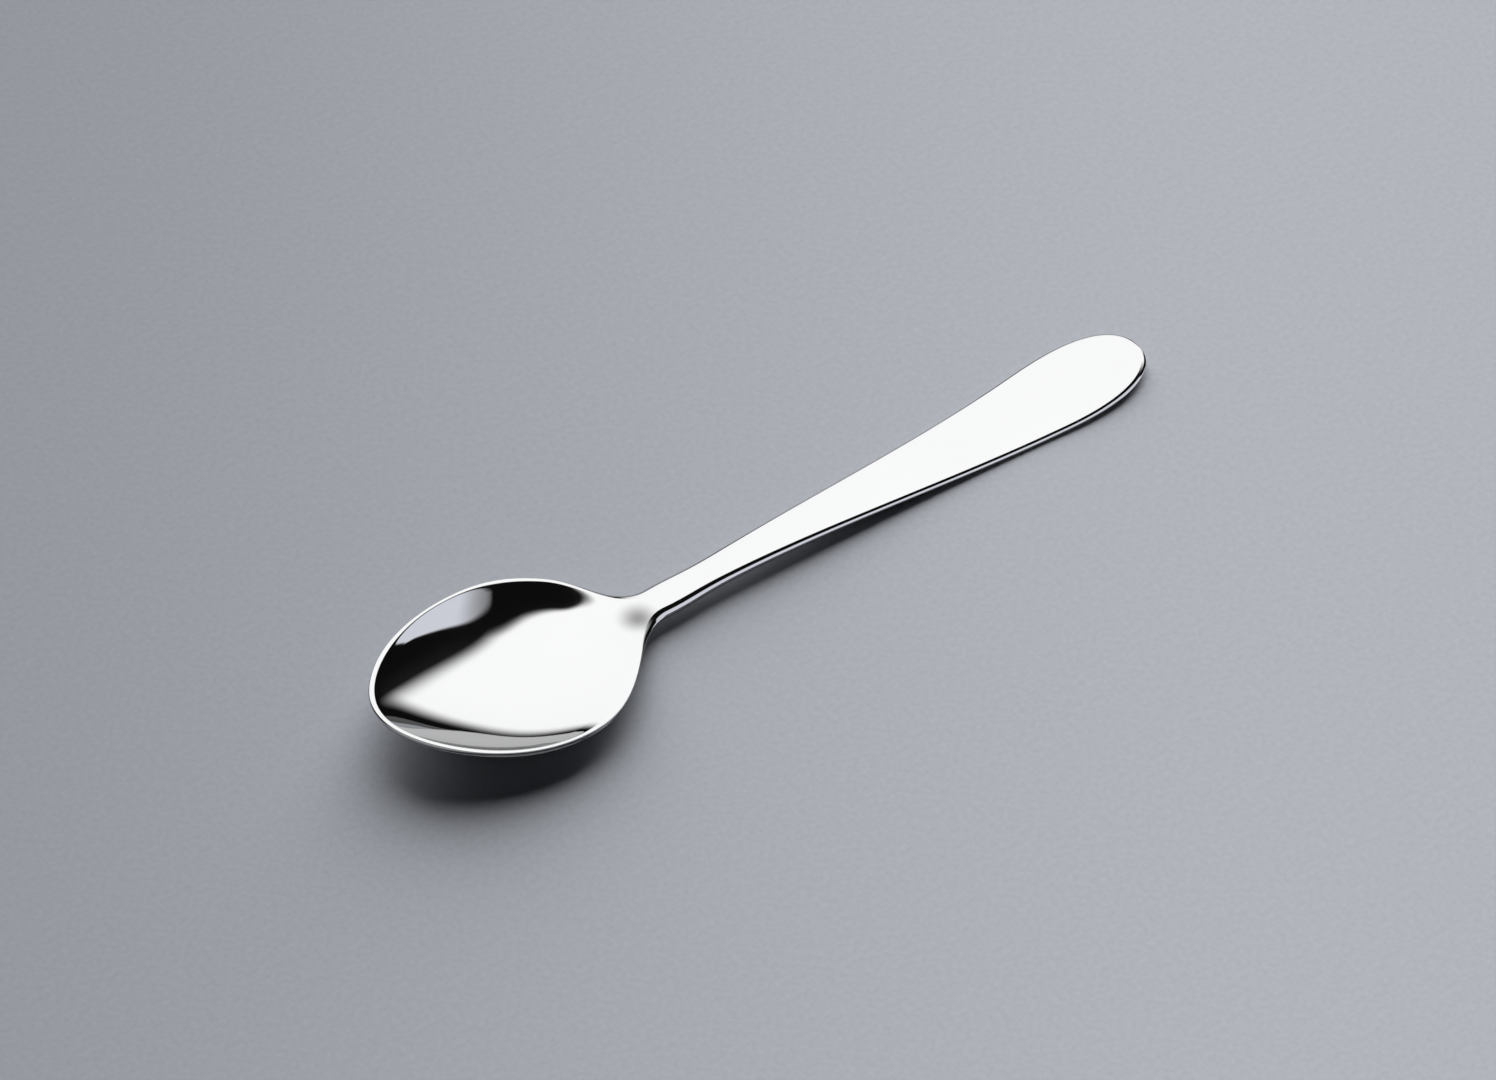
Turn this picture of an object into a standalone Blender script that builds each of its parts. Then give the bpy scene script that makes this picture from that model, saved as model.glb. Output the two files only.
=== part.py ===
"""Demitasse spoon, pressed in one piece from a stainless steel blank.

Metres, +Z up. The spoon lies as it does on a table: the underside of the bowl and the underside
of the handle end touch Z = 0, the bowl opens upwards and the handle runs towards +X.
"""

import bmesh
import bpy
import numpy as np

# Plan of the blank, measured along the spoon from the bowl tip.
LENGTH = 0.110
BOWL_WIDTH = 0.0267
BOWL_WIDEST = 0.0190
SHOULDER_LENGTH = 0.0192
NECK_WIDTH = 0.0036
END_WIDTH = 0.01075
END_ROUND = 0.0151

# Side view of the rim, heights above the table.
RIM_HEIGHT = 0.0045
TIP_RISE = 0.0038
RIM_LOW_AT = 0.0253
FALL_AT = 0.0279

# Side view of the middle line: front of the dish, floor, ramp, plate, neck, handle.
FRONT_HEIGHT = 0.0039
FRONT_AT = 0.0080
DEEPEST_AT = 0.0170
RAMP_HEIGHT = 0.00197
RAMP_AT = 0.0240
PLATE_HEIGHT = 0.00293
PLATE_AT = 0.0310
NECK_HEIGHT = 0.00295
ARCH_HEIGHT = 0.00285
ARCH_AT = 0.052
MID_HEIGHT = 0.00157
MID_AT = 0.074
END_LIFT = 0.00094
END_OVERHANG = 0.0180

# Gauge of the metal.
BOWL_THICKNESS = 0.00135
RIM_THICKNESS = 0.0008
NECK_THICKNESS = 0.0018
END_THICKNESS = 0.00093
RIM_WIDTH = 0.0006
BOWL_LAND = 0.00025
END_LAND = 0.00007

# Roundness of the handle end, flare of the handle, narrowing of the bowl to its tip.
END_SQUARENESS = 2.24
HANDLE_FLARE = 1.48
TIP_TAPER = 0.15

# Dish across: steep towards the rim at the tip, flat towards it at the shoulders.
STEEP_WIDEST = -0.07
STEEP_CHANGE = -0.39

# Rim profile: outward share of the edge width, downward share of the thickness.
RIM_OUT = (0.20, 0.82, 0.95, 1.00, 0.95, 0.88, 0.80)
RIM_DOWN = (0.00, 0.00, 0.05, 0.17, 0.30, 0.44, 0.58)

ACROSS = 8
STEPS_TIP = 12
STEPS_SHOULDER = 12
STEPS_HANDLE = 16
STEPS_END = 9

NECK_AT = BOWL_WIDEST + SHOULDER_LENGTH
END_AT = LENGTH - END_ROUND
CONTACT_AT = LENGTH - END_OVERHANG


def ease(s, start, stop):
    """Runs from 0 at start to 1 at stop with no break in its bend."""
    u = np.clip((s - start) / (stop - start), 0.0, 1.0)
    return u**3 * (10.0 - 15.0 * u + 6.0 * u * u)


def spline(at, heights, s):
    """Smooth line through the given heights, straight at both ends."""
    step = np.diff(at)
    rise = np.diff(heights) / step
    system = np.eye(len(at))
    right = np.zeros(len(at))
    for i in range(1, len(at) - 1):
        system[i, i - 1] = step[i - 1]
        system[i, i] = 2.0 * (step[i - 1] + step[i])
        system[i, i + 1] = step[i]
        right[i] = 6.0 * (rise[i] - rise[i - 1])
    bend = np.linalg.solve(system, right)
    k = np.clip(np.searchsorted(at, s) - 1, 0, len(step) - 1)
    a = (at[k + 1] - s) / step[k]
    b = (s - at[k]) / step[k]
    curve = (a**3 - a) * bend[k] + (b**3 - b) * bend[k + 1]
    return a * heights[k] + b * heights[k + 1] + curve * step[k] ** 2 / 6.0


def rate(line, s):
    """Slope of a line at each place along the spoon."""
    small = 1e-6
    return (line(s + small) - line(s - small)) / (2.0 * small)


def rim_line(s):
    """Height of the rim, rising towards the bowl tip."""
    return RIM_HEIGHT + TIP_RISE * np.clip((RIM_LOW_AT - s) / RIM_LOW_AT, 0.0, None) ** 2


def middle_line(s):
    """Height of the upper face along the middle of the bowl and the handle."""
    floor = BOWL_THICKNESS - BOWL_LAND
    contact = END_THICKNESS - END_LAND
    places = (
        (RIM_WIDTH, rim_line(RIM_WIDTH)),
        (FRONT_AT, FRONT_HEIGHT),
        (DEEPEST_AT, floor),
        (RAMP_AT, RAMP_HEIGHT),
        (PLATE_AT, PLATE_HEIGHT),
        (NECK_AT, NECK_HEIGHT),
        (ARCH_AT, ARCH_HEIGHT),
        (MID_AT, MID_HEIGHT),
        (CONTACT_AT, contact),
        (LENGTH, contact + END_LIFT),
    )
    at, heights = np.array(places).T
    return spline(at, heights, s)


def edge_line(s):
    """Height of the edge: the rim, which falls at the shoulders to the handle."""
    rim = rim_line(s)
    handle = middle_line(np.maximum(s, NECK_AT))
    return rim + (handle - rim) * ease(s, FALL_AT, NECK_AT)


def handle_half(s):
    """Half width of the handle, flaring from the neck and rounded off at its end."""
    u = np.clip((s - NECK_AT) / (END_AT - NECK_AT), 0.0, None)
    half = 0.5 * NECK_WIDTH + 0.5 * (END_WIDTH - NECK_WIDTH) * u**HANDLE_FLARE
    v = np.clip((s - END_AT) / END_ROUND, 0.0, 1.0)
    return half * (1.0 - v**END_SQUARENESS) ** (1.0 / END_SQUARENESS)


def half_width(s):
    """Half width of the blank at each place along the spoon."""
    wide = 0.5 * BOWL_WIDTH
    neck = handle_half(s)
    front = np.clip((BOWL_WIDEST - s) / BOWL_WIDEST, 0.0, 1.0)
    back = np.clip((s - BOWL_WIDEST) / SHOULDER_LENGTH, 0.0, 1.0)
    bend = 2.0 * (1.0 + 2.0 * TIP_TAPER) * wide / (wide - 0.5 * NECK_WIDTH)
    start = SHOULDER_LENGTH / BOWL_WIDEST * np.sqrt(bend)
    start = np.clip(start, 0.2 * np.pi, np.pi)
    swell = 0.5 * (1.0 + np.cos(start * back + (np.pi - start) * back**2))
    bowl = neck + (wide - neck) * swell
    tip = wide * np.sqrt(1.0 - front**2) * (1.0 - TIP_TAPER * front**2)
    return np.where(s < BOWL_WIDEST, tip, bowl)


def thickness(s):
    """Gauge of the metal at the edges: thin at the rim, thickest at the neck, thin at the end."""
    swell = ease(s, BOWL_WIDEST + 0.4 * SHOULDER_LENGTH, NECK_AT)
    taper = np.clip((CONTACT_AT - s) / (CONTACT_AT - NECK_AT), 0.0, 1.0) ** 2
    handle = END_THICKNESS + (NECK_THICKNESS - END_THICKNESS) * taper
    return RIM_THICKNESS + (handle - RIM_THICKNESS) * swell


def bowl_share(s):
    """1 in the bowl, 0 on the handle."""
    return 1.0 - ease(s, BOWL_WIDEST + 0.55 * SHOULDER_LENGTH, NECK_AT)


def edge_width(s):
    """Width of the rim face in the bowl, of the rounded edge on the handle."""
    share = bowl_share(s)
    return share * RIM_WIDTH + (1.0 - share) * 0.5 * thickness(s)


def steepness(s):
    """How much of the dish's rise lies close to the rim."""
    return STEEP_WIDEST + STEEP_CHANGE * np.clip(s / BOWL_WIDEST - 1.0, -1.0, 1.0)


def stations():
    """Places along the outline, closer together round the tip and the handle end."""
    quarter = 0.5 * np.pi
    tip = BOWL_WIDEST * (1.0 - np.cos(quarter * np.arange(STEPS_TIP) / STEPS_TIP))
    shoulder = BOWL_WIDEST + SHOULDER_LENGTH * np.arange(STEPS_SHOULDER) / STEPS_SHOULDER
    handle = NECK_AT + (END_AT - NECK_AT) * np.arange(STEPS_HANDLE) / STEPS_HANDLE
    end = END_AT + END_ROUND * np.sin(quarter * np.arange(STEPS_END + 1) / STEPS_END)
    return np.concatenate([tip, shoulder, handle, end])


def outline_normals(s):
    """Outward direction of the outline, along and across the spoon."""
    small = 1e-6
    ahead = np.clip(s + small, 0.0, LENGTH)
    behind = np.clip(s - small, 0.0, LENGTH)
    slope = (half_width(ahead) - half_width(behind)) / (ahead - behind)
    normals = np.stack([-slope, np.ones_like(s)], axis=1)
    normals[0] = (-1.0, 0.0)
    normals[-1] = (1.0, 0.0)
    return normals / np.linalg.norm(normals, axis=1)[:, None]


def half_skin():
    """Rings round one half of the spoon: upper face, edge, underside. Rows run along the spoon."""
    s = stations()
    out = outline_normals(s)
    edge = edge_width(s)
    inner_s = s - edge * out[:, 0]
    inner_y = np.clip(half_width(s) - edge * out[:, 1], 0.0, None)
    inner_y[0] = 0.0
    inner_y[-1] = 0.0
    gauge = thickness(inner_s)
    line = edge_line(inner_s)
    middle = middle_line(inner_s)
    depth = line - middle
    steep = steepness(inner_s)[:, None]
    across = np.linspace(0.0, 1.0, ACROSS + 1)[None, :]
    dish = (1.0 - steep) * across**2 + steep * across**4
    upper = np.empty((len(s), ACROSS + 1, 3))
    upper[:, :, 0] = inner_s[:, None]
    upper[:, :, 1] = inner_y[:, None] * across
    upper[:, :, 2] = middle[:, None] + depth[:, None] * dish

    slope = rate(middle_line, inner_s)[:, None]
    growth = rate(edge_line, inner_s)[:, None] - slope
    change = rate(steepness, inner_s)[:, None]
    rise = 2.0 * (1.0 - steep) * across + 4.0 * steep * across**3
    wide = np.maximum(inner_y, 1e-9)[:, None]
    side = np.where(inner_y[:, None] > 1e-6, depth[:, None] * rise / wide, 0.0)
    turning = -out[:, :1] / np.maximum(out[:, 1:], 1e-9)
    along = slope + growth * dish - side * across * turning
    along += depth[:, None] * change * (across**4 - across**2)
    along[0] = slope[0]
    along[-1] = slope[-1]
    normal = np.stack([-along, -side, np.ones_like(side)], axis=2)
    normal /= np.linalg.norm(normal, axis=2)[:, :, None]
    middle_gauge = (BOWL_THICKNESS - RIM_THICKNESS) * np.clip(depth / depth.max(), 0.0, 1.0)
    full = gauge[:, None] + middle_gauge[:, None] * (1.0 - across**2)
    lower = upper - full[:, :, None] * normal
    lower[:, 0, 1] = 0.0
    lower[0, :, 1] = 0.0
    lower[-1, :, 1] = 0.0

    blend = bowl_share(s)[:, None]
    turn = np.pi * np.arange(1, 8)[None, :] / 8.0
    reach = blend * np.array(RIM_OUT)[None, :] + (1.0 - blend) * np.sin(turn)
    fall = blend * np.array(RIM_DOWN)[None, :] + (1.0 - blend) * 0.5 * (1.0 - np.cos(turn))
    rim = np.empty((len(s), 7, 3))
    rim[:, :, 0] = inner_s[:, None] + reach * edge[:, None] * out[:, :1]
    rim[:, :, 1] = inner_y[:, None] + reach * edge[:, None] * out[:, 1:]
    rim[:, :, 2] = edge_line(rim[:, :, 0]) - fall * gauge[:, None]
    rim[0, :, 1] = 0.0
    rim[-1, :, 1] = 0.0

    skin = np.concatenate([upper, rim, lower[:, ::-1]], axis=1)
    skin[:, :, 2] = np.maximum(skin[:, :, 2], 0.0)
    skin[:, :, 0] -= 0.5 * LENGTH
    return skin


def polished_steel():
    material = bpy.data.materials.new("polished_steel")
    material.use_nodes = True
    shader = material.node_tree.nodes["Principled BSDF"]
    shader.inputs["Base Color"].default_value = (0.72, 0.72, 0.73, 1.0)
    shader.inputs["Metallic"].default_value = 1.0
    shader.inputs["Roughness"].default_value = 0.06
    return material


def build_spoon(collection):
    skin = half_skin()
    rows, columns = skin.shape[:2]
    mesh = bpy.data.meshes.new("spoon")
    half = bmesh.new()
    bmesh.ops.create_grid(half, x_segments=rows - 1, y_segments=columns - 1, size=1.0)
    for vert in half.verts:
        row = round(0.5 * (vert.co.x + 1.0) * (rows - 1))
        column = round(0.5 * (vert.co.y + 1.0) * (columns - 1))
        vert.co = skin[row, column]
    bmesh.ops.remove_doubles(half, verts=half.verts, dist=1e-7)
    bmesh.ops.dissolve_degenerate(half, dist=1e-7, edges=half.edges)
    half.to_mesh(mesh)
    half.free()
    mesh.materials.append(polished_steel())
    spoon = bpy.data.objects.new("spoon", mesh)
    collection.objects.link(spoon)
    mirror = spoon.modifiers.new("other_half", "MIRROR")
    mirror.use_axis = (False, True, False)
    mirror.use_mirror_merge = True
    mirror.merge_threshold = 0.000002
    return spoon


def main():
    for obj in list(bpy.data.objects):
        bpy.data.objects.remove(obj, do_unlink=True)
    collection = bpy.data.collections.new("demitasse_spoon")
    bpy.context.scene.collection.children.link(collection)
    build_spoon(collection)


main()
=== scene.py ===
"""Demitasse spoon in mirror-polished stainless steel, lying on grey paper.

One piece: bowl, neck and handle are pressed from a single blank, so one polished skin stands for the
spoon of the frame. Metres, +Z up. The spoon runs along X with its bowl tip at -X, and rests on Z = 0.
"""

import bmesh
import bpy
import numpy as np
from mathutils import Matrix, Vector


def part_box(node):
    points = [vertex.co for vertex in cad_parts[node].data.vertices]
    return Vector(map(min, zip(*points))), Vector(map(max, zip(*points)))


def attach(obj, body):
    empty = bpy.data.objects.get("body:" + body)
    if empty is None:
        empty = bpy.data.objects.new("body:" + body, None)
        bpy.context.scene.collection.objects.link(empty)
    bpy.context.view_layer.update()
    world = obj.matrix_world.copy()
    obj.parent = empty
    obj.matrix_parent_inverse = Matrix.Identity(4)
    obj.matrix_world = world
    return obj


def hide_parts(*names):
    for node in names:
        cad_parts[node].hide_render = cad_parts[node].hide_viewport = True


bl_info = {
    "name": "Demitasse Spoon",
    "version": (1, 0, 0),
    "blender": (4, 5, 0),
    "location": "View3D > Sidebar > Demitasse",
    "description": "Polished demitasse spoon on a grey paper stage",
    "category": "Object",
}

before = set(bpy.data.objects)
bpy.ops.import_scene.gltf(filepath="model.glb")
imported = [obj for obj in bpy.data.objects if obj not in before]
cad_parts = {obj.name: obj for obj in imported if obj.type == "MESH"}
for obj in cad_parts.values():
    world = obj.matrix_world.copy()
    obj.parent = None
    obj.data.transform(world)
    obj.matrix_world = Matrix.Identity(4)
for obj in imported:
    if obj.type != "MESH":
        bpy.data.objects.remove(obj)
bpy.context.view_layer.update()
LOW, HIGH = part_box("spoon")
LENGTH = HIGH.x - LOW.x
WIDTH = HIGH.y - LOW.y

# Fineness of the mesh: rows along each stretch of the outline, points across each face and round the edge,
# and how much the points across crowd towards the edge.
ROWS_TIP = 64
ROWS_SHOULDER = 64
ROWS_HANDLE = 44
ROWS_END = 40
ACROSS = 56
ROUND = 48
CROWDING = 1.6

# Rounding of the edges: passes all round, further passes on the bowl's rim, rings taken in above and below.
EDGE_PASSES = 1
RIM_PASSES = 16
RINGS_ABOVE = 12
RINGS_BELOW = 8

# Stretches of the shoulder, 0 at the widest part of the bowl and 1 at the neck, over which the gauge swells,
# the dish runs out, and the rim turns into the handle's edge.
GAUGE_SPAN = (0.35, 1.05)
BOWL_SPAN = (0.50, 1.05)
RIM_SPAN = (0.48, 0.95)

# Points closer than these are one point: in one half of the skin, and where the halves meet.
MERGE = 1e-7
MERGE_HALVES = 2e-6

# Rim of the bowl, from the dish outwards and down: share of the rim width, share of the gauge.
RIM_OUT = (0.00, 0.30, 0.60, 0.82, 0.95, 1.00, 0.98, 0.92, 0.80, 0.62, 0.38, 0.12, 0.00)
RIM_DOWN = (0.00, 0.00, 0.00, 0.008, 0.035, 0.090, 0.17, 0.30, 0.48, 0.68, 0.86, 0.98, 1.00)

# The same at the bowl tip, where the rim is rounded off further.
TIP_OUT = (0.00, 0.28, 0.56, 0.70, 0.82, 0.92, 0.98, 1.00, 0.94, 0.78, 0.50, 0.20, 0.00)
TIP_DOWN = (0.00, 0.00, 0.00, 0.030, 0.10, 0.20, 0.33, 0.48, 0.62, 0.76, 0.90, 0.98, 1.00)

# Edge of the handle: share of its width, fall as a share of the same width, share of the gauge left below.
EDGE_OUT = (0.00, 0.33, 0.36, 0.54, 0.72, 0.83, 0.94, 1.00, 1.00, 0.93, 0.78, 0.50, 0.00)
EDGE_FALL = (0.00, 0.006, 0.015, 0.0735, 0.132, 0.188, 0.246, 0.30, 0.33, 0.33, 0.33, 0.33, 0.33)
EDGE_DROP = (0.00, 0.00, 0.00, 0.00, 0.00, 0.00, 0.00, 0.00, 0.05, 0.30, 0.60, 0.88, 1.00)

# Polish of the steel: size of the wiped patches, where they turn hazy, length and depth of the lines.
HAZE_SCALE = 90.0
HAZE_DETAIL = 4.0
HAZE_SPAN = (0.40, 0.75)
LINE_STRETCH = (60.0, 4000.0, 4000.0)
LINE_DETAIL = 2.0
LINE_DEPTH = 0.00002

# Paper: mattness, size and relief of its grain, and where its painted shade turns from dark to pale, left to
# right.
PAPER_ROUGHNESS = 0.9
PAPER_GLOSS = 0.15
GRAIN_SCALE = 1400.0
GRAIN_DETAIL = 3.0
GRAIN_RELIEF = 0.08
GRAIN_DEPTH = 0.0002
PAPER_TURN = (-0.13, 0.07)

# The paper as the steel shows it, painted dark in reflections only: where it has faded, as a share of its
# reach, and how dark it is by then.
SHEET_FADE = 1.25
SHEET_DARK = 0.97

# Edges of the lights: planes that cut the dome of directions round the spoon. Each gives the way it faces,
# to the right, away from the camera and up, and where its soft edge begins and ends along that way. The room
# rises from a low share of its level at the table to the full level.
PANEL_ROUND = (-0.44, 0.78, 0.44, 0.50, 0.60)
PANEL_NEAR = (-0.11, 0.82, -0.56, -0.425, -0.365)
PANEL_FOOT = (0.0, 0.0, 1.0, 0.045, 0.22)
PANEL_LEFT = (0.67, 0.74, 0.0, -0.16, 0.06)
CARD_FAR = (0.19, -0.93, -0.31, -0.40, -0.375)
CARD_LEFT = (0.78, -0.26, -0.57, -0.49, -0.465)
CARD_NEAR = (0.21, 0.98, 0.0, -0.02, 0.02)
CARD_FOOT = (0.0, 0.0, 1.0, 0.15, 0.25)
CARD_TOP = (0.0, 0.0, 1.0, 0.88, 1.04)
ROOM_EDGE = (-0.20, -0.98, 0.0, 0.2, 0.6)
ROOM_RISE = (0.0, 0.0, 1.0, 0.0, 0.9)
ROOM_LOW = 0.3


def length_prop(name, description, default):
    """A length in metres, shown in the scene's unit."""
    return bpy.props.FloatProperty(
        name=name,
        description=description,
        default=default,
        min=0.0,
        precision=5,
        subtype="DISTANCE",
        unit="LENGTH",
    )


def share_prop(name, description, default, low=0.0, high=1.0):
    """A plain number."""
    return bpy.props.FloatProperty(
        name=name, description=description, default=default, min=low, max=high, precision=4
    )


def colour_prop(name, description, default):
    """A linear colour."""
    return bpy.props.FloatVectorProperty(
        name=name, description=description, default=default, subtype="COLOR", size=3, min=0.0, max=1.0
    )


def angle_prop(name, description, degrees):
    """An angle, given here in degrees."""
    return bpy.props.FloatProperty(
        name=name, description=description, default=np.radians(degrees), subtype="ANGLE", unit="ROTATION"
    )


class SpoonSizes(bpy.types.PropertyGroup):
    """Plan, side view and gauge of the blank. Places along the spoon are measured from the bowl tip."""

    length: length_prop("Length", "Bowl tip to handle end", LENGTH)
    bowl_width: length_prop("Bowl Width", "Across the bowl at its widest", WIDTH)
    bowl_widest: length_prop("Bowl Widest At", "Place of the widest part of the bowl", 0.1727 * LENGTH)
    shoulder: length_prop("Shoulder Length", "From the widest part to the neck", 0.1745 * LENGTH)
    neck_width: length_prop("Neck Width", "Across the narrowest part", 0.00398)
    neck_fillet: length_prop("Neck Fillet", "Metal added on each side where the neck begins", 0.00042)
    fillet_at: length_prop("Fillet At", "Place of that metal", 0.03920)
    fillet_reach: length_prop("Fillet Reach", "How far it runs out", 0.00450)
    end_width: length_prop("End Width", "Across the handle where its end rounds off", 0.01112)
    end_round: length_prop("End Round", "Length of the rounded handle end", 0.0151)
    rim_height: length_prop("Rim Height", "Lowest part of the rim above the table", 0.0045)
    tip_rise: length_prop("Tip Rise", "Rise of the rim towards the bowl tip", 0.0038)
    rim_low_at: length_prop("Rim Low At", "Place of the lowest part of the rim", 0.0253)
    fall_at: length_prop("Fall At", "Place where the rim begins to fall to the handle", 0.02834)
    fall_end: length_prop("Fall End", "Place where the rim has come down to the handle", 0.03630)
    tip_height: length_prop("Tip Height", "Upper face just behind the bowl tip", 0.00600)
    tip_at: length_prop("Tip At", "Place just behind the bowl tip", 0.0040)
    front_height: length_prop("Front Height", "Upper face at the front of the dish", 0.00382)
    front_at: length_prop("Front At", "Place on the front of the dish", 0.0080)
    dip_height: length_prop("Dip Height", "Upper face where the front runs out into the floor", 0.00222)
    dip_at: length_prop("Dip At", "Place where the front runs out into the floor", 0.0120)
    deepest_at: length_prop("Deepest At", "Place of the bowl floor", 0.01732)
    ramp_height: length_prop("Ramp Height", "Upper face on the ramp behind the floor", 0.00215)
    ramp_at: length_prop("Ramp At", "Place on the ramp", 0.0240)
    plate_height: length_prop("Plate Height", "Upper face where the ramp levels out", 0.00288)
    plate_at: length_prop("Plate At", "Place where the ramp levels out", 0.0310)
    neck_height: length_prop("Neck Height", "Upper face at the neck", 0.00278)
    arch_height: length_prop("Arch Height", "Upper face where the handle arches", 0.00268)
    arch_at: length_prop("Arch At", "Place of the handle's arch", 0.052)
    mid_height: length_prop("Mid Height", "Upper face on the falling part of the handle", 0.00140)
    mid_at: length_prop("Mid At", "Place on the falling part of the handle", 0.074)
    end_lift: length_prop("End Lift", "Lift of the handle end above the part that rests", 0.00094)
    end_overhang: length_prop("End Overhang", "From the resting part to the handle end", 0.0180)
    bowl_gauge: length_prop("Bowl Gauge", "Thickness of the bowl floor", 0.00156)
    rim_gauge: length_prop("Rim Gauge", "Thickness at the rim", 0.0008)
    neck_gauge: length_prop("Neck Gauge", "Thickness at the neck", 0.0018)
    end_gauge: length_prop("End Gauge", "Thickness of the handle end", 0.00074)
    rim_width: length_prop("Rim Width", "Width of the rim's flat face at the sides", 0.00040)
    tip_rim: length_prop("Tip Rim Width", "Width of the rim's flat face at the tip", 0.00066)
    edge_round: length_prop("Edge Round", "Width of the handle's rounded edge", 0.00086)
    neck_round: length_prop("Neck Round", "Width of the rounded edge at the neck", 0.00150)
    bowl_land: length_prop("Bowl Land", "Metal worn flat where the bowl rests", 0.0002)
    end_land: length_prop("End Land", "Metal worn flat where the handle rests", 0.00004)
    end_squareness: share_prop("End Squareness", "2 is an ellipse, more is squarer", 2.24, 1.0, 6.0)
    handle_flare: share_prop("Handle Flare", "1 widens evenly, more widens late", 1.48, 1.0, 4.0)
    tip_taper: share_prop("Tip Taper", "Narrowing of the bowl towards its tip", 0.15)
    wall_tip: share_prop("Wall at Tip", "Rise kept for the walls at the bowl tip", 0.44, -1.0)
    wall_neck: share_prop("Wall at Neck", "Rise kept for the walls at the neck", -0.25, -1.0)
    lip_tip: share_prop("Lip at Tip", "Rise kept for just under the rim at the bowl tip", -0.33, -1.0)
    lip_crest: share_prop("Lip Crest", "The most that is kept there, where the floor begins", 0.38, -1.0)
    lip_neck: share_prop("Lip at Neck", "Rise kept there towards the neck", -0.05, -1.0)
    lip_run: length_prop("Lip Run", "From that crest back to where the lip has run out", 0.0155)


class SteelFinish(bpy.types.PropertyGroup):
    """The polished steel."""

    colour: colour_prop("Colour", "What the steel reflects", (0.570, 0.572, 0.575))
    slant: share_prop("Slanting Shine", "How much is left of the shine at a slanting look", 0.72)
    smooth: share_prop("Roughness", "Of the cleanest polish", 0.025)
    wiped: share_prop("Wiped Roughness", "Where the polish is hazed by wiping", 0.060)
    hairline: share_prop("Hairlines", "Depth of the polishing lines", 0.010)
    # Painted shade: a soft darker spot is painted into the steel's colour at the neck. It stands in for a
    # darker reflection there.
    painted_shade_at: length_prop("Neck Painted Shade At", "Place of the dull spot at the neck, from the bowl tip", 0.03490)
    painted_shade_aside: length_prop("Neck Painted Shade Aside", "How far the spot lies off the middle", 0.00115)
    painted_shade_height: length_prop("Neck Painted Shade Height", "Height of the upper face there", 0.00280)
    painted_shade_width: length_prop("Neck Painted Shade Width", "Half the width of the spot", 0.00310)
    painted_shade_level: share_prop("Neck Painted Shade Shine", "Shine left in the middle of the spot", 0.36)


class PaperStage(bpy.types.PropertyGroup):
    """Paper, light and camera."""

    # Painted shade: the paper is coloured darker on the left and paler on the right. This stands in for the
    # light falling off across the floor.
    paper_painted_shade: colour_prop("Paper Left", "Paper on the left", (0.272, 0.286, 0.316))
    paper_light: colour_prop("Paper Right", "Paper on the right", (0.434, 0.451, 0.491))
    paper_size: length_prop("Paper Size", "Half the side of the sheet", 3.0)
    sheet_reach: length_prop("Sheet Reach", "How far the paper runs, as the steel shows it", 0.10)
    grain: share_prop("Paper Grain", "Contrast of the paper's grain", 0.10)
    panel_glow: share_prop("Panel Glow", "Large soft panel as the steel shows it", 1.645, 0.0, 10.0)
    panel_light: share_prop("Panel Light", "Light of the panel on the paper", 4.36, 0.0, 10.0)
    card_colour: colour_prop("Card Colour", "Pale card on the right", (0.885, 0.905, 1.0))
    card_glow: share_prop("Card Glow", "Brightness of the card", 1.165, 0.0, 10.0)
    room_glow: share_prop("Room Glow", "Dim room behind the camera", 0.75, 0.0, 10.0)
    shift: angle_prop("Light Shift", "How much further right the light on the paper comes from", 8.0)
    dark_glow: share_prop("Dark Glow", "Dark part of the room", 0.006, 0.0, 10.0)
    turn: angle_prop("Camera Turn", "Turn of the view from the spoon's length", 36.80)
    tilt: angle_prop("Camera Tilt", "Camera above the table", 47.0)
    distance: length_prop("Camera Distance", "From the point looked at", 0.700)
    aim: bpy.props.FloatVectorProperty(
        name="Aim",
        description="Point on the table that is looked at",
        default=(-0.00100, 0.00333, 0.0),
        precision=5,
        subtype="XYZ",
        unit="LENGTH",
    )
    view_width: length_prop("View Width", "Width of the picture at the point looked at", 0.17501)


def ease(s, start, stop):
    """Runs from 0 at start to 1 at stop with no break in its bend."""
    u = np.clip((s - start) / (stop - start), 0.0, 1.0)
    return u**3 * (10.0 - 15.0 * u + 6.0 * u * u)


def spline(at, heights, s):
    """Smooth line through the given heights, straight at both ends."""
    step = np.diff(at)
    rise = np.diff(heights) / step
    system = np.eye(len(at))
    right = np.zeros(len(at))
    for i in range(1, len(at) - 1):
        system[i, i - 1] = step[i - 1]
        system[i, i] = 2.0 * (step[i - 1] + step[i])
        system[i, i + 1] = step[i]
        right[i] = 6.0 * (rise[i] - rise[i - 1])
    bend = np.linalg.solve(system, right)
    k = np.clip(np.searchsorted(at, s) - 1, 0, len(step) - 1)
    a = (at[k + 1] - s) / step[k]
    b = (s - at[k]) / step[k]
    curve = (a**3 - a) * bend[k] + (b**3 - b) * bend[k + 1]
    return a * heights[k] + b * heights[k + 1] + curve * step[k] ** 2 / 6.0


def rate(line, s):
    """Slope of a line at each place along the spoon."""
    small = 1e-6
    return (line(s + small) - line(s - small)) / (2.0 * small)


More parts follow.
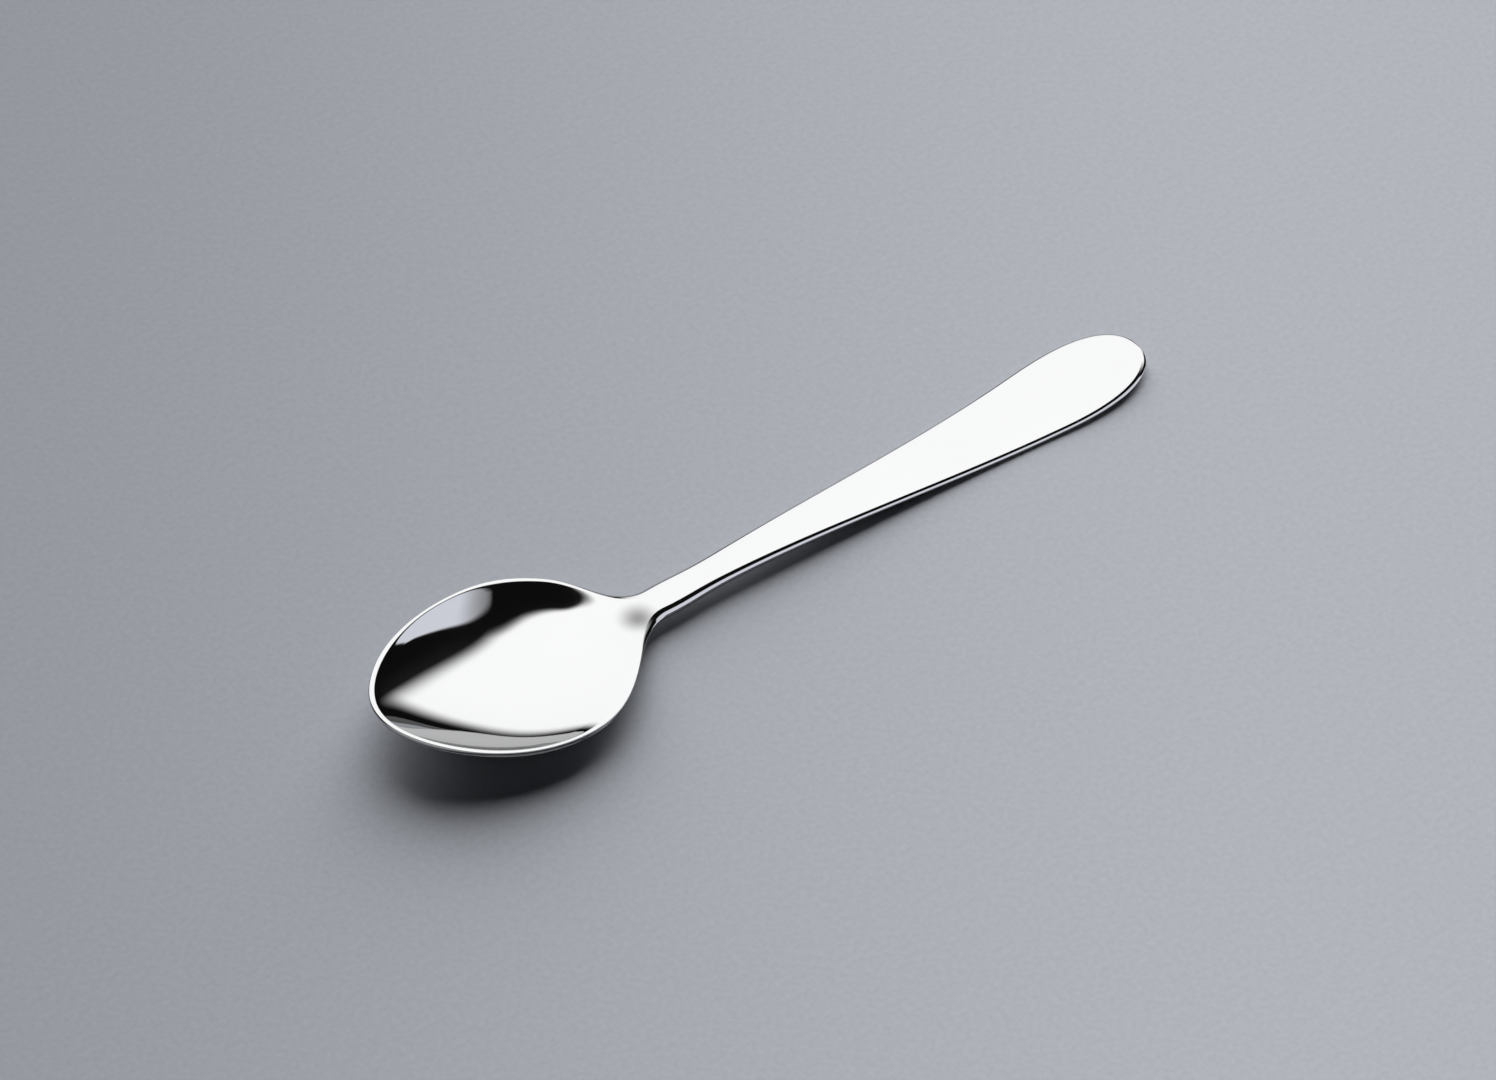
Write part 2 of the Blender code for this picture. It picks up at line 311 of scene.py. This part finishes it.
class SpoonForm:
    """Shape of the pressed blank, worked out from its sizes."""

    def __init__(self, sizes):
        self.z = sizes
        self.neck_at = sizes.bowl_widest + sizes.shoulder
        self.end_at = sizes.length - sizes.end_round
        self.contact_at = sizes.length - sizes.end_overhang

    def rim_line(self, s):
        """Height of the rim, rising towards the bowl tip."""
        z = self.z
        return z.rim_height + z.tip_rise * np.clip((z.rim_low_at - s) / z.rim_low_at, 0.0, None) ** 2

    def middle_line(self, s):
        """Height of the upper face along the middle of the bowl and the handle."""
        z = self.z
        contact = z.end_gauge - z.end_land
        places = (
            (z.tip_rim, self.rim_line(z.tip_rim)),
            (z.tip_at, z.tip_height),
            (z.front_at, z.front_height),
            (z.dip_at, z.dip_height),
            (z.deepest_at, z.bowl_gauge - z.bowl_land),
            (z.ramp_at, z.ramp_height),
            (z.plate_at, z.plate_height),
            (self.neck_at, z.neck_height),
            (z.arch_at, z.arch_height),
            (z.mid_at, z.mid_height),
            (self.contact_at, contact),
            (z.length, contact + z.end_lift),
        )
        at, heights = np.array(places).T
        return spline(at, heights, s)

    def edge_line(self, s):
        """Height of the edge: the rim, which falls at the shoulders to the handle."""
        rim = self.rim_line(s)
        neck = np.array([self.neck_at])
        slope = rate(self.middle_line, neck)[0]
        handle = self.middle_line(np.maximum(s, self.neck_at)) + slope * np.minimum(s - self.neck_at, 0.0)
        return rim + (handle - rim) * ease(s, self.z.fall_at, self.z.fall_end)

    def wall(self, s):
        """How much of the dish's rise is kept for the walls: most at the tip, least at the neck."""
        z = self.z
        left = 1.0 - np.clip(s / z.fall_end, 0.0, 1.0)
        return z.wall_neck + (z.wall_tip - z.wall_neck) * left**3

    def lip(self, s):
        """How much of the dish's rise is kept for just under the rim: most where the floor begins."""
        z = self.z
        quarter = 0.5 * np.pi
        front = np.sin(quarter * np.clip(s / z.dip_at, 0.0, 1.0))
        back = np.cos(quarter * np.clip((s - z.dip_at) / z.lip_run, 0.0, 1.0)) ** 2
        ahead = z.lip_tip + (z.lip_crest - z.lip_tip) * front
        behind = z.lip_neck + (z.lip_crest - z.lip_neck) * back
        return np.where(s < z.dip_at, ahead, behind)

    def over_shoulder(self, s, span):
        """Runs from 0 to 1 over a stretch of the shoulder."""
        start, stop = (self.z.bowl_widest + share * self.z.shoulder for share in span)
        return ease(s, start, stop)

    def handle_half(self, s):
        """Half width of the handle, flaring from the neck and rounded off at its end."""
        z = self.z
        u = np.clip((s - self.neck_at) / (self.end_at - self.neck_at), 0.0, None)
        half = 0.5 * z.neck_width + 0.5 * (z.end_width - z.neck_width) * u**z.handle_flare
        half = half + z.neck_fillet * np.exp(-(((s - z.fillet_at) / z.fillet_reach) ** 2))
        v = np.clip((s - self.end_at) / z.end_round, 0.0, 1.0)
        return half * (1.0 - v**z.end_squareness) ** (1.0 / z.end_squareness)

    def half_width(self, s):
        """Half width of the blank at each place along the spoon."""
        z = self.z
        wide = 0.5 * z.bowl_width
        neck = self.handle_half(s)
        front = np.clip((z.bowl_widest - s) / z.bowl_widest, 0.0, 1.0)
        back = np.clip((s - z.bowl_widest) / z.shoulder, 0.0, 1.0)
        bend = 2.0 * (1.0 + 2.0 * z.tip_taper) * wide / (wide - 0.5 * z.neck_width)
        start = np.clip(z.shoulder / z.bowl_widest * np.sqrt(bend), 0.2 * np.pi, np.pi)
        swell = 0.5 * (1.0 + np.cos(start * back + (np.pi - start) * back**2))
        tip = wide * np.sqrt(1.0 - front**2) * (1.0 - z.tip_taper * front**2)
        return np.where(s < z.bowl_widest, tip, neck + (wide - neck) * swell)

    def gauge(self, s):
        """Thickness at the edges: thin at the rim, thickest at the neck, thin at the end."""
        z = self.z
        swell = self.over_shoulder(s, GAUGE_SPAN)
        taper = np.clip((self.contact_at - s) / (self.contact_at - self.neck_at), 0.0, 1.0) ** 2
        handle = z.end_gauge + (z.neck_gauge - z.end_gauge) * taper
        return z.rim_gauge + (handle - z.rim_gauge) * swell

    def bowl_share(self, s):
        """1 in the bowl, 0 on the handle."""
        return 1.0 - self.over_shoulder(s, BOWL_SPAN)

    def rim_share(self, s):
        """1 where the edge is the bowl's rim, 0 where it is the handle's rounded edge."""
        return 1.0 - self.over_shoulder(s, RIM_SPAN)

    def edge_width(self, s):
        """Width of the rim face in the bowl, of the rounded edge on the handle."""
        z = self.z
        share = self.bowl_share(s)
        rim = z.rim_width + (z.tip_rim - z.rim_width) * (1.0 - ease(s, 0.0, z.bowl_widest))
        taper = np.clip((z.mid_at - s) / (z.mid_at - self.neck_at), 0.0, 1.0) ** 2
        handle = z.edge_round + (z.neck_round - z.edge_round) * taper
        return share * rim + (1.0 - share) * handle

    def stations(self):
        """Places along the outline, closer together round the tip and the handle end."""
        z = self.z
        quarter = 0.5 * np.pi
        tip = z.bowl_widest * (1.0 - np.cos(quarter * np.arange(ROWS_TIP) / ROWS_TIP))
        shoulder = z.bowl_widest + z.shoulder * np.arange(ROWS_SHOULDER) / ROWS_SHOULDER
        handle = self.neck_at + (self.end_at - self.neck_at) * np.arange(ROWS_HANDLE) / ROWS_HANDLE
        end = self.end_at + z.end_round * np.sin(quarter * np.arange(ROWS_END + 1) / ROWS_END)
        return np.concatenate([tip, shoulder, handle, end])

    def outline_normals(self, s):
        """Outward direction of the outline, along and across the spoon."""
        small = 1e-6
        ahead = np.clip(s + small, 0.0, self.z.length)
        behind = np.clip(s - small, 0.0, self.z.length)
        slope = (self.half_width(ahead) - self.half_width(behind)) / (ahead - behind)
        normals = np.stack([-slope, np.ones_like(s)], axis=1)
        normals[0] = (-1.0, 0.0)
        normals[-1] = (1.0, 0.0)
        return normals / np.linalg.norm(normals, axis=1)[:, None]

    def half_skin(self):
        """Rings round one half of the spoon: upper face, edge, underside. Rows run along the spoon."""
        z = self.z
        s = self.stations()
        out = self.outline_normals(s)
        edge = self.edge_width(s)
        inner_s = s - edge * out[:, 0]
        inner_y = np.clip(self.half_width(s) - edge * out[:, 1], 0.0, None)
        inner_y[0] = 0.0
        inner_y[-1] = 0.0
        gauge = self.gauge(inner_s)[:, None]
        line = self.edge_line(inner_s)
        middle = self.middle_line(inner_s)
        depth = (line - middle)[:, None]
        wall = self.wall(inner_s)[:, None]
        lip = self.lip(inner_s)[:, None]
        across = 1.0 - (1.0 - np.linspace(0.0, 1.0, ACROSS + 1)[None, :]) ** CROWDING
        outer = across**4 - across**2
        outmost = across**6 - across**4
        dish = across**2 + wall * outer + lip * outmost
        upper = np.empty((len(s), ACROSS + 1, 3))
        upper[:, :, 0] = inner_s[:, None]
        upper[:, :, 1] = inner_y[:, None] * across
        upper[:, :, 2] = middle[:, None] + depth * dish

        slope = rate(self.middle_line, inner_s)[:, None]
        growth = rate(self.edge_line, inner_s)[:, None] - slope
        change = rate(self.wall, inner_s)[:, None] * outer + rate(self.lip, inner_s)[:, None] * outmost
        rise = 2.0 * across + wall * (4.0 * across**3 - 2.0 * across)
        rise += lip * (6.0 * across**5 - 4.0 * across**3)
        wide = np.maximum(inner_y, 1e-9)[:, None]
        side = np.where(inner_y[:, None] > 1e-6, depth * rise / wide, 0.0)
        turning = -out[:, :1] / np.maximum(out[:, 1:], 1e-9)
        along = slope + growth * dish - side * across * turning
        along += depth * change
        along[0] = slope[0]
        along[-1] = slope[-1]
        normal = np.stack([-along, -side, np.ones_like(side)], axis=2)
        normal /= np.linalg.norm(normal, axis=2)[:, :, None]
        extra = (z.bowl_gauge - z.rim_gauge) * np.clip(depth / depth.max(), 0.0, 1.0)
        full = gauge + extra * (1.0 - across**2)
        lower = upper - full[:, :, None] * normal
        lower[:, 0, 1] = 0.0
        lower[0, :, 1] = 0.0
        lower[-1, :, 1] = 0.0

        share = self.rim_share(s)[:, None]
        step = np.arange(1, ROUND) / ROUND
        knots = np.linspace(0.0, 1.0, len(RIM_OUT))
        rim_out, rim_down, tip_out, tip_down, edge_out, edge_fall, edge_drop = (
            np.interp(step, knots, profile)[None, :]
            for profile in (RIM_OUT, RIM_DOWN, TIP_OUT, TIP_DOWN, EDGE_OUT, EDGE_FALL, EDGE_DROP)
        )
        tip = 1.0 - ease(s, 0.0, 0.5 * z.bowl_widest)[:, None]
        rim_out = rim_out + tip * (tip_out - rim_out)
        rim_down = rim_down + tip * (tip_down - rim_down)
        reach = share * rim_out + (1.0 - share) * edge_out
        handle_fall = edge[:, None] * edge_fall + (gauge - EDGE_FALL[-1] * edge[:, None]) * edge_drop
        fall = share * rim_down * gauge + (1.0 - share) * handle_fall
        rim = np.empty((len(s), ROUND - 1, 3))
        rim[:, :, 0] = inner_s[:, None] + reach * edge[:, None] * out[:, :1]
        rim[:, :, 1] = inner_y[:, None] + reach * edge[:, None] * out[:, 1:]
        rim[:, :, 2] = self.edge_line(rim[:, :, 0]) - fall
        rim[0, :, 1] = 0.0
        rim[-1, :, 1] = 0.0

        skin = np.concatenate([upper, rim, lower[:, ::-1]], axis=1)
        self.round_edges(skin, share[:, :, None])
        skin[:, :, 2] = np.maximum(skin[:, :, 2], 0.0)
        skin[:, :, 0] -= 0.5 * z.length
        return skin

    def round_edges(self, skin, share):
        """Takes the corners off the edges, as tumbling and buffing do, and more off the bowl's rim."""
        first = ACROSS - RINGS_ABOVE
        last = ACROSS + ROUND + RINGS_BELOW
        for weight in [1.0] * EDGE_PASSES + [share] * RIM_PASSES:
            ring = skin[:, first - 1 : last + 1]
            middle = 0.5 * (ring[:, :-2] + ring[:, 2:])
            skin[:, first:last] += 0.5 * weight * (middle - ring[:, 1:-1])


def polished_steel(finish):
    """Mirror polish with a faint wiped haze, fine polishing lines along the spoon, and a painted dark
    reflection at the neck.
    """
    material = bpy.data.materials.new("polished_steel")
    material.use_nodes = True
    nodes = material.node_tree.nodes
    link = material.node_tree.links.new
    shader = nodes["Principled BSDF"]
    shader.inputs["Metallic"].default_value = 1.0
    shader.inputs["Specular Tint"].default_value = (finish.slant, finish.slant, finish.slant, 1.0)
    place = nodes.new("ShaderNodeTexCoord")

    haze = nodes.new("ShaderNodeTexNoise")
    haze.inputs["Scale"].default_value = HAZE_SCALE
    haze.inputs["Detail"].default_value = HAZE_DETAIL
    link(place.outputs["Object"], haze.inputs["Vector"])
    wipe = nodes.new("ShaderNodeMapRange")
    wipe.inputs["From Min"].default_value, wipe.inputs["From Max"].default_value = HAZE_SPAN
    wipe.inputs["To Min"].default_value = finish.smooth
    wipe.inputs["To Max"].default_value = finish.wiped
    link(haze.outputs["Fac"], wipe.inputs["Value"])
    link(wipe.outputs["Result"], shader.inputs["Roughness"])

    stretch = nodes.new("ShaderNodeMapping")
    stretch.inputs["Scale"].default_value = LINE_STRETCH
    link(place.outputs["Object"], stretch.inputs["Vector"])
    lines = nodes.new("ShaderNodeTexNoise")
    lines.inputs["Scale"].default_value = 1.0
    lines.inputs["Detail"].default_value = LINE_DETAIL
    link(stretch.outputs["Vector"], lines.inputs["Vector"])
    bump = nodes.new("ShaderNodeBump")
    bump.inputs["Strength"].default_value = finish.hairline
    bump.inputs["Distance"].default_value = LINE_DEPTH
    link(lines.outputs["Fac"], bump.inputs["Height"])
    link(bump.outputs["Normal"], shader.inputs["Normal"])

    # Painted shade: the steel's colour is darkened in a soft spot at the neck. It stands in for a darker
    # reflection, not a dull finish.
    reach = nodes.new("ShaderNodeVectorMath")
    reach.operation = "DISTANCE"
    reach.inputs[1].default_value = (finish.painted_shade_at - 0.5 * LENGTH, -finish.painted_shade_aside, finish.painted_shade_height)
    link(place.outputs["Object"], reach.inputs[0])
    darkened = nodes.new("ShaderNodeMapRange")
    darkened.interpolation_type = "SMOOTHSTEP"
    darkened.inputs["From Max"].default_value = finish.painted_shade_width
    darkened.inputs["To Min"].default_value = finish.painted_shade_level
    link(reach.outputs["Value"], darkened.inputs["Value"])
    steel = nodes.new("ShaderNodeVectorMath")
    steel.operation = "SCALE"
    steel.inputs[0].default_value = finish.colour
    link(darkened.outputs["Result"], steel.inputs["Scale"])
    link(steel.outputs["Vector"], shader.inputs["Base Color"])
    return material


def grey_paper(stage, right):
    """Matt paper with a fine grain, painted a little darker on the left as shade. The steel shows it ending
    in the dark, a painted dark reflection.
    """
    material = bpy.data.materials.new("grey_paper")
    material.use_nodes = True
    nodes = material.node_tree.nodes
    link = material.node_tree.links.new
    shader = nodes["Principled BSDF"]
    shader.inputs["Roughness"].default_value = PAPER_ROUGHNESS
    shader.inputs["Specular IOR Level"].default_value = PAPER_GLOSS
    place = nodes.new("ShaderNodeTexCoord")
    aside = nodes.new("ShaderNodeVectorMath")
    aside.operation = "DOT_PRODUCT"
    aside.inputs[1].default_value = right
    link(place.outputs["Object"], aside.inputs[0])
    # Painted shade: the paper's colour runs from darker on the left to paler on the right, in place of the
    # light's falloff.
    painted_falloff = nodes.new("ShaderNodeMapRange")
    painted_falloff.interpolation_type = "SMOOTHSTEP"
    painted_falloff.inputs["From Min"].default_value, painted_falloff.inputs["From Max"].default_value = PAPER_TURN
    link(aside.outputs["Value"], painted_falloff.inputs["Value"])
    shade = nodes.new("ShaderNodeMix")
    shade.data_type = "RGBA"
    shade.inputs["A"].default_value = (*stage.paper_painted_shade, 1.0)
    shade.inputs["B"].default_value = (*stage.paper_light, 1.0)
    link(painted_falloff.outputs["Result"], shade.inputs["Factor"])

    grain = nodes.new("ShaderNodeTexNoise")
    grain.inputs["Scale"].default_value = GRAIN_SCALE
    grain.inputs["Detail"].default_value = GRAIN_DETAIL
    link(place.outputs["Object"], grain.inputs["Vector"])
    contrast = nodes.new("ShaderNodeMapRange")
    contrast.inputs["To Min"].default_value = 1.0 - stage.grain
    contrast.inputs["To Max"].default_value = 1.0 + stage.grain
    link(grain.outputs["Fac"], contrast.inputs["Value"])
    mottle = nodes.new("ShaderNodeVectorMath")
    mottle.operation = "SCALE"
    link(shade.outputs["Result"], mottle.inputs[0])
    link(contrast.outputs["Result"], mottle.inputs["Scale"])

    # Painted reflection: for glossy rays the paper's colour fades to black past its reach. This stands in
    # for the dark room beyond the sheet.
    reach = nodes.new("ShaderNodeVectorMath")
    reach.operation = "LENGTH"
    link(place.outputs["Object"], reach.inputs[0])
    beyond = nodes.new("ShaderNodeMapRange")
    beyond.interpolation_type = "SMOOTHSTEP"
    beyond.inputs["From Min"].default_value = stage.sheet_reach
    beyond.inputs["From Max"].default_value = SHEET_FADE * stage.sheet_reach
    beyond.inputs["To Max"].default_value = SHEET_DARK
    link(reach.outputs["Value"], beyond.inputs["Value"])
    mirrored = nodes.new("ShaderNodeMath")
    mirrored.operation = "MULTIPLY"
    link(beyond.outputs["Result"], mirrored.inputs[0])
    link(nodes.new("ShaderNodeLightPath").outputs["Is Glossy Ray"], mirrored.inputs[1])
    table = nodes.new("ShaderNodeMix")
    table.data_type = "RGBA"
    table.inputs["B"].default_value = (0.0, 0.0, 0.0, 1.0)
    link(mirrored.outputs["Value"], table.inputs["Factor"])
    link(mottle.outputs["Vector"], table.inputs["A"])
    link(table.outputs["Result"], shader.inputs["Base Color"])
    bump = nodes.new("ShaderNodeBump")
    bump.inputs["Strength"].default_value = GRAIN_RELIEF
    bump.inputs["Distance"].default_value = GRAIN_DEPTH
    link(grain.outputs["Fac"], bump.inputs["Height"])
    link(bump.outputs["Normal"], shader.inputs["Normal"])
    return material


class StudioLight:
    """The room round the spoon, by direction: a large soft panel, a card, a dim room, dark elsewhere."""

    def __init__(self, axes, shift):
        self.world = bpy.data.worlds.new("studio")
        self.world.use_nodes = True
        self.nodes = self.world.node_tree.nodes
        self.link = self.world.node_tree.links.new
        self.axes = axes
        self.rays = self.nodes.new("ShaderNodeLightPath").outputs
        place = self.nodes.new("ShaderNodeTexCoord")
        turn = self.nodes.new("ShaderNodeVectorRotate")
        turn.rotation_type = "Z_AXIS"
        self.link(place.outputs["Generated"], turn.inputs["Vector"])
        self.link(self.level(self.rays["Is Glossy Ray"], shift, 0.0), turn.inputs["Angle"])
        self.direction = turn.outputs["Vector"]

    def side(self, across, away, up, soft_from, soft_to):
        """1 on the far side of a plane across the dome of directions, 0 on the near side, soft between."""
        dot = self.nodes.new("ShaderNodeVectorMath")
        dot.operation = "DOT_PRODUCT"
        dot.inputs[1].default_value = (self.axes @ Vector((across, away, up))).normalized()
        self.link(self.direction, dot.inputs[0])
        edge = self.nodes.new("ShaderNodeMapRange")
        edge.interpolation_type = "SMOOTHSTEP"
        edge.inputs["From Min"].default_value = soft_from
        edge.inputs["From Max"].default_value = soft_to
        self.link(dot.outputs["Value"], edge.inputs["Value"])
        return edge.outputs["Result"]

    def level(self, value, low, high):
        """Runs evenly from low to high as the value goes from 0 to 1."""
        span = self.nodes.new("ShaderNodeMapRange")
        span.clamp = False
        span.inputs["To Min"].default_value = low
        span.inputs["To Max"].default_value = high
        self.link(value, span.inputs["Value"])
        return span.outputs["Result"]

    def sum(self, operation, first, *others):
        """The values joined one after another by an arithmetic step."""
        for other in others:
            step = self.nodes.new("ShaderNodeMath")
            step.operation = operation
            self.link(first, step.inputs[0])
            self.link(other, step.inputs[1])
            first = step.outputs["Value"]
        return first


def light_studio(stage, axes):
    """Lights the room, and shows the camera plain paper colour past the sheet."""
    studio = StudioLight(axes, stage.shift)
    mirrored = studio.rays["Is Glossy Ray"]
    panel = studio.sum(
        "MULTIPLY",
        studio.level(mirrored, stage.panel_light, stage.panel_glow),
        *[studio.side(*edge) for edge in (PANEL_ROUND, PANEL_NEAR, PANEL_FOOT, PANEL_LEFT)],
    )
    card = studio.sum(
        "MULTIPLY",
        studio.level(mirrored, 0.0, stage.card_glow),
        studio.level(studio.side(*CARD_TOP), 1.0, 0.0),
        *[studio.side(*edge) for edge in (CARD_FAR, CARD_LEFT, CARD_NEAR, CARD_FOOT)],
    )
    room = studio.sum(
        "MULTIPLY",
        studio.level(mirrored, 0.0, stage.room_glow),
        studio.level(studio.side(*ROOM_RISE), ROOM_LOW, 1.0),
        studio.side(*ROOM_EDGE),
    )
    lights = studio.sum("ADD", panel, card, room)
    lamp = studio.nodes["Background"]
    tint = studio.nodes.new("ShaderNodeMix")
    tint.data_type = "RGBA"
    tint.inputs["A"].default_value = (1.0, 1.0, 1.0, 1.0)
    tint.inputs["B"].default_value = (*stage.card_colour, 1.0)
    studio.link(card, tint.inputs["Factor"])
    studio.link(tint.outputs["Result"], lamp.inputs["Color"])
    studio.link(studio.level(lights, stage.dark_glow, 1.0), lamp.inputs["Strength"])
    backdrop = studio.nodes.new("ShaderNodeBackground")
    backdrop.inputs["Color"].default_value = (*stage.paper_light, 1.0)
    seen = studio.nodes.new("ShaderNodeMixShader")
    studio.link(studio.rays["Is Camera Ray"], seen.inputs[0])
    studio.link(lamp.outputs["Background"], seen.inputs[1])
    studio.link(backdrop.outputs["Background"], seen.inputs[2])
    studio.link(seen.outputs["Shader"], studio.nodes["World Output"].inputs["Surface"])
    bpy.context.scene.world = studio.world


def view_axes(stage):
    """Directions on the table as the camera sees them: right, away from the camera, up."""
    cos, sin = np.cos(stage.turn), np.sin(stage.turn)
    return Matrix(((cos, sin, 0.0), (-sin, cos, 0.0), (0.0, 0.0, 1.0)))


class DEMITASSE_OT_spoon(bpy.types.Operator):
    """Press the spoon from its sizes and polish it"""

    bl_idname = "demitasse.spoon"
    bl_label = "Press Spoon"

    def execute(self, context):
        skin = SpoonForm(context.scene.demitasse_sizes).half_skin()
        rows, columns = skin.shape[:2]
        spoon = bmesh.new()
        bmesh.ops.create_grid(spoon, x_segments=rows - 1, y_segments=columns - 1, size=1.0)
        for vert in spoon.verts:
            row = round(0.5 * (vert.co.x + 1.0) * (rows - 1))
            column = round(0.5 * (vert.co.y + 1.0) * (columns - 1))
            vert.co = skin[row, column]
        bmesh.ops.remove_doubles(spoon, verts=spoon.verts, dist=MERGE)
        bmesh.ops.dissolve_degenerate(spoon, dist=MERGE, edges=spoon.edges)
        half = spoon.verts[:] + spoon.edges[:] + spoon.faces[:]
        bmesh.ops.mirror(spoon, geom=half, matrix=Matrix.Identity(4), merge_dist=MERGE_HALVES, axis="Y")
        bmesh.ops.recalc_face_normals(spoon, faces=spoon.faces)
        for face in spoon.faces:
            face.smooth = True
        mesh = bpy.data.meshes.new("spoon_skin")
        spoon.to_mesh(mesh)
        spoon.free()
        mesh.materials.append(polished_steel(context.scene.demitasse_finish))
        piece = bpy.data.objects.new("spoon_skin", mesh)
        context.scene.collection.objects.link(piece)
        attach(piece, "root")
        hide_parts("spoon")
        return {"FINISHED"}


class DEMITASSE_OT_stage(bpy.types.Operator):
    """Lay the paper, set the light and place the camera"""

    bl_idname = "demitasse.stage"
    bl_label = "Set Stage"

    def execute(self, context):
        stage = context.scene.demitasse_stage
        axes = view_axes(stage)
        sheet = bmesh.new()
        bmesh.ops.create_grid(sheet, x_segments=1, y_segments=1, size=stage.paper_size)
        mesh = bpy.data.meshes.new("paper")
        sheet.to_mesh(mesh)
        sheet.free()
        mesh.materials.append(grey_paper(stage, axes.col[0]))
        paper = bpy.data.objects.new("paper", mesh)
        context.scene.collection.objects.link(paper)

        light_studio(stage, axes)
        context.scene.view_settings.view_transform = "Standard"

        camera = bpy.data.cameras.new("camera")
        camera.sensor_fit = "HORIZONTAL"
        camera.lens = camera.sensor_width * stage.distance / stage.view_width
        camera.clip_start = 0.01
        holder = bpy.data.objects.new("camera", camera)
        context.scene.collection.objects.link(holder)
        back = axes @ Vector((0.0, -np.cos(stage.tilt), np.sin(stage.tilt)))
        holder.location = Vector(stage.aim) + stage.distance * back
        holder.rotation_euler = back.to_track_quat("Z", "Y").to_euler()
        context.scene.camera = holder
        return {"FINISHED"}


class DEMITASSE_PT_panel(bpy.types.Panel):
    """Sizes, finish and stage of the spoon"""

    bl_idname = "DEMITASSE_PT_panel"
    bl_label = "Demitasse Spoon"
    bl_space_type = "VIEW_3D"
    bl_region_type = "UI"
    bl_category = "Demitasse"

    def draw(self, context):
        groups = (
            (DEMITASSE_OT_spoon, ("demitasse_sizes", "demitasse_finish")),
            (DEMITASSE_OT_stage, ("demitasse_stage",)),
        )
        for operator, names in groups:
            box = self.layout.box()
            box.operator(operator.bl_idname)
            for name in names:
                group = getattr(context.scene, name)
                for key in group.__annotations__:
                    box.prop(group, key)


CLASSES = (
    SpoonSizes,
    SteelFinish,
    PaperStage,
    DEMITASSE_OT_spoon,
    DEMITASSE_OT_stage,
    DEMITASSE_PT_panel,
)


def register():
    for cls in CLASSES:
        bpy.utils.register_class(cls)
    bpy.types.Scene.demitasse_sizes = bpy.props.PointerProperty(type=SpoonSizes)
    bpy.types.Scene.demitasse_finish = bpy.props.PointerProperty(type=SteelFinish)
    bpy.types.Scene.demitasse_stage = bpy.props.PointerProperty(type=PaperStage)


def unregister():
    del bpy.types.Scene.demitasse_stage
    del bpy.types.Scene.demitasse_finish
    del bpy.types.Scene.demitasse_sizes
    for cls in reversed(CLASSES):
        bpy.utils.unregister_class(cls)


def main():
    register()
    bpy.ops.demitasse.stage()
    bpy.ops.demitasse.spoon()


if __name__ == "__main__":
    main()
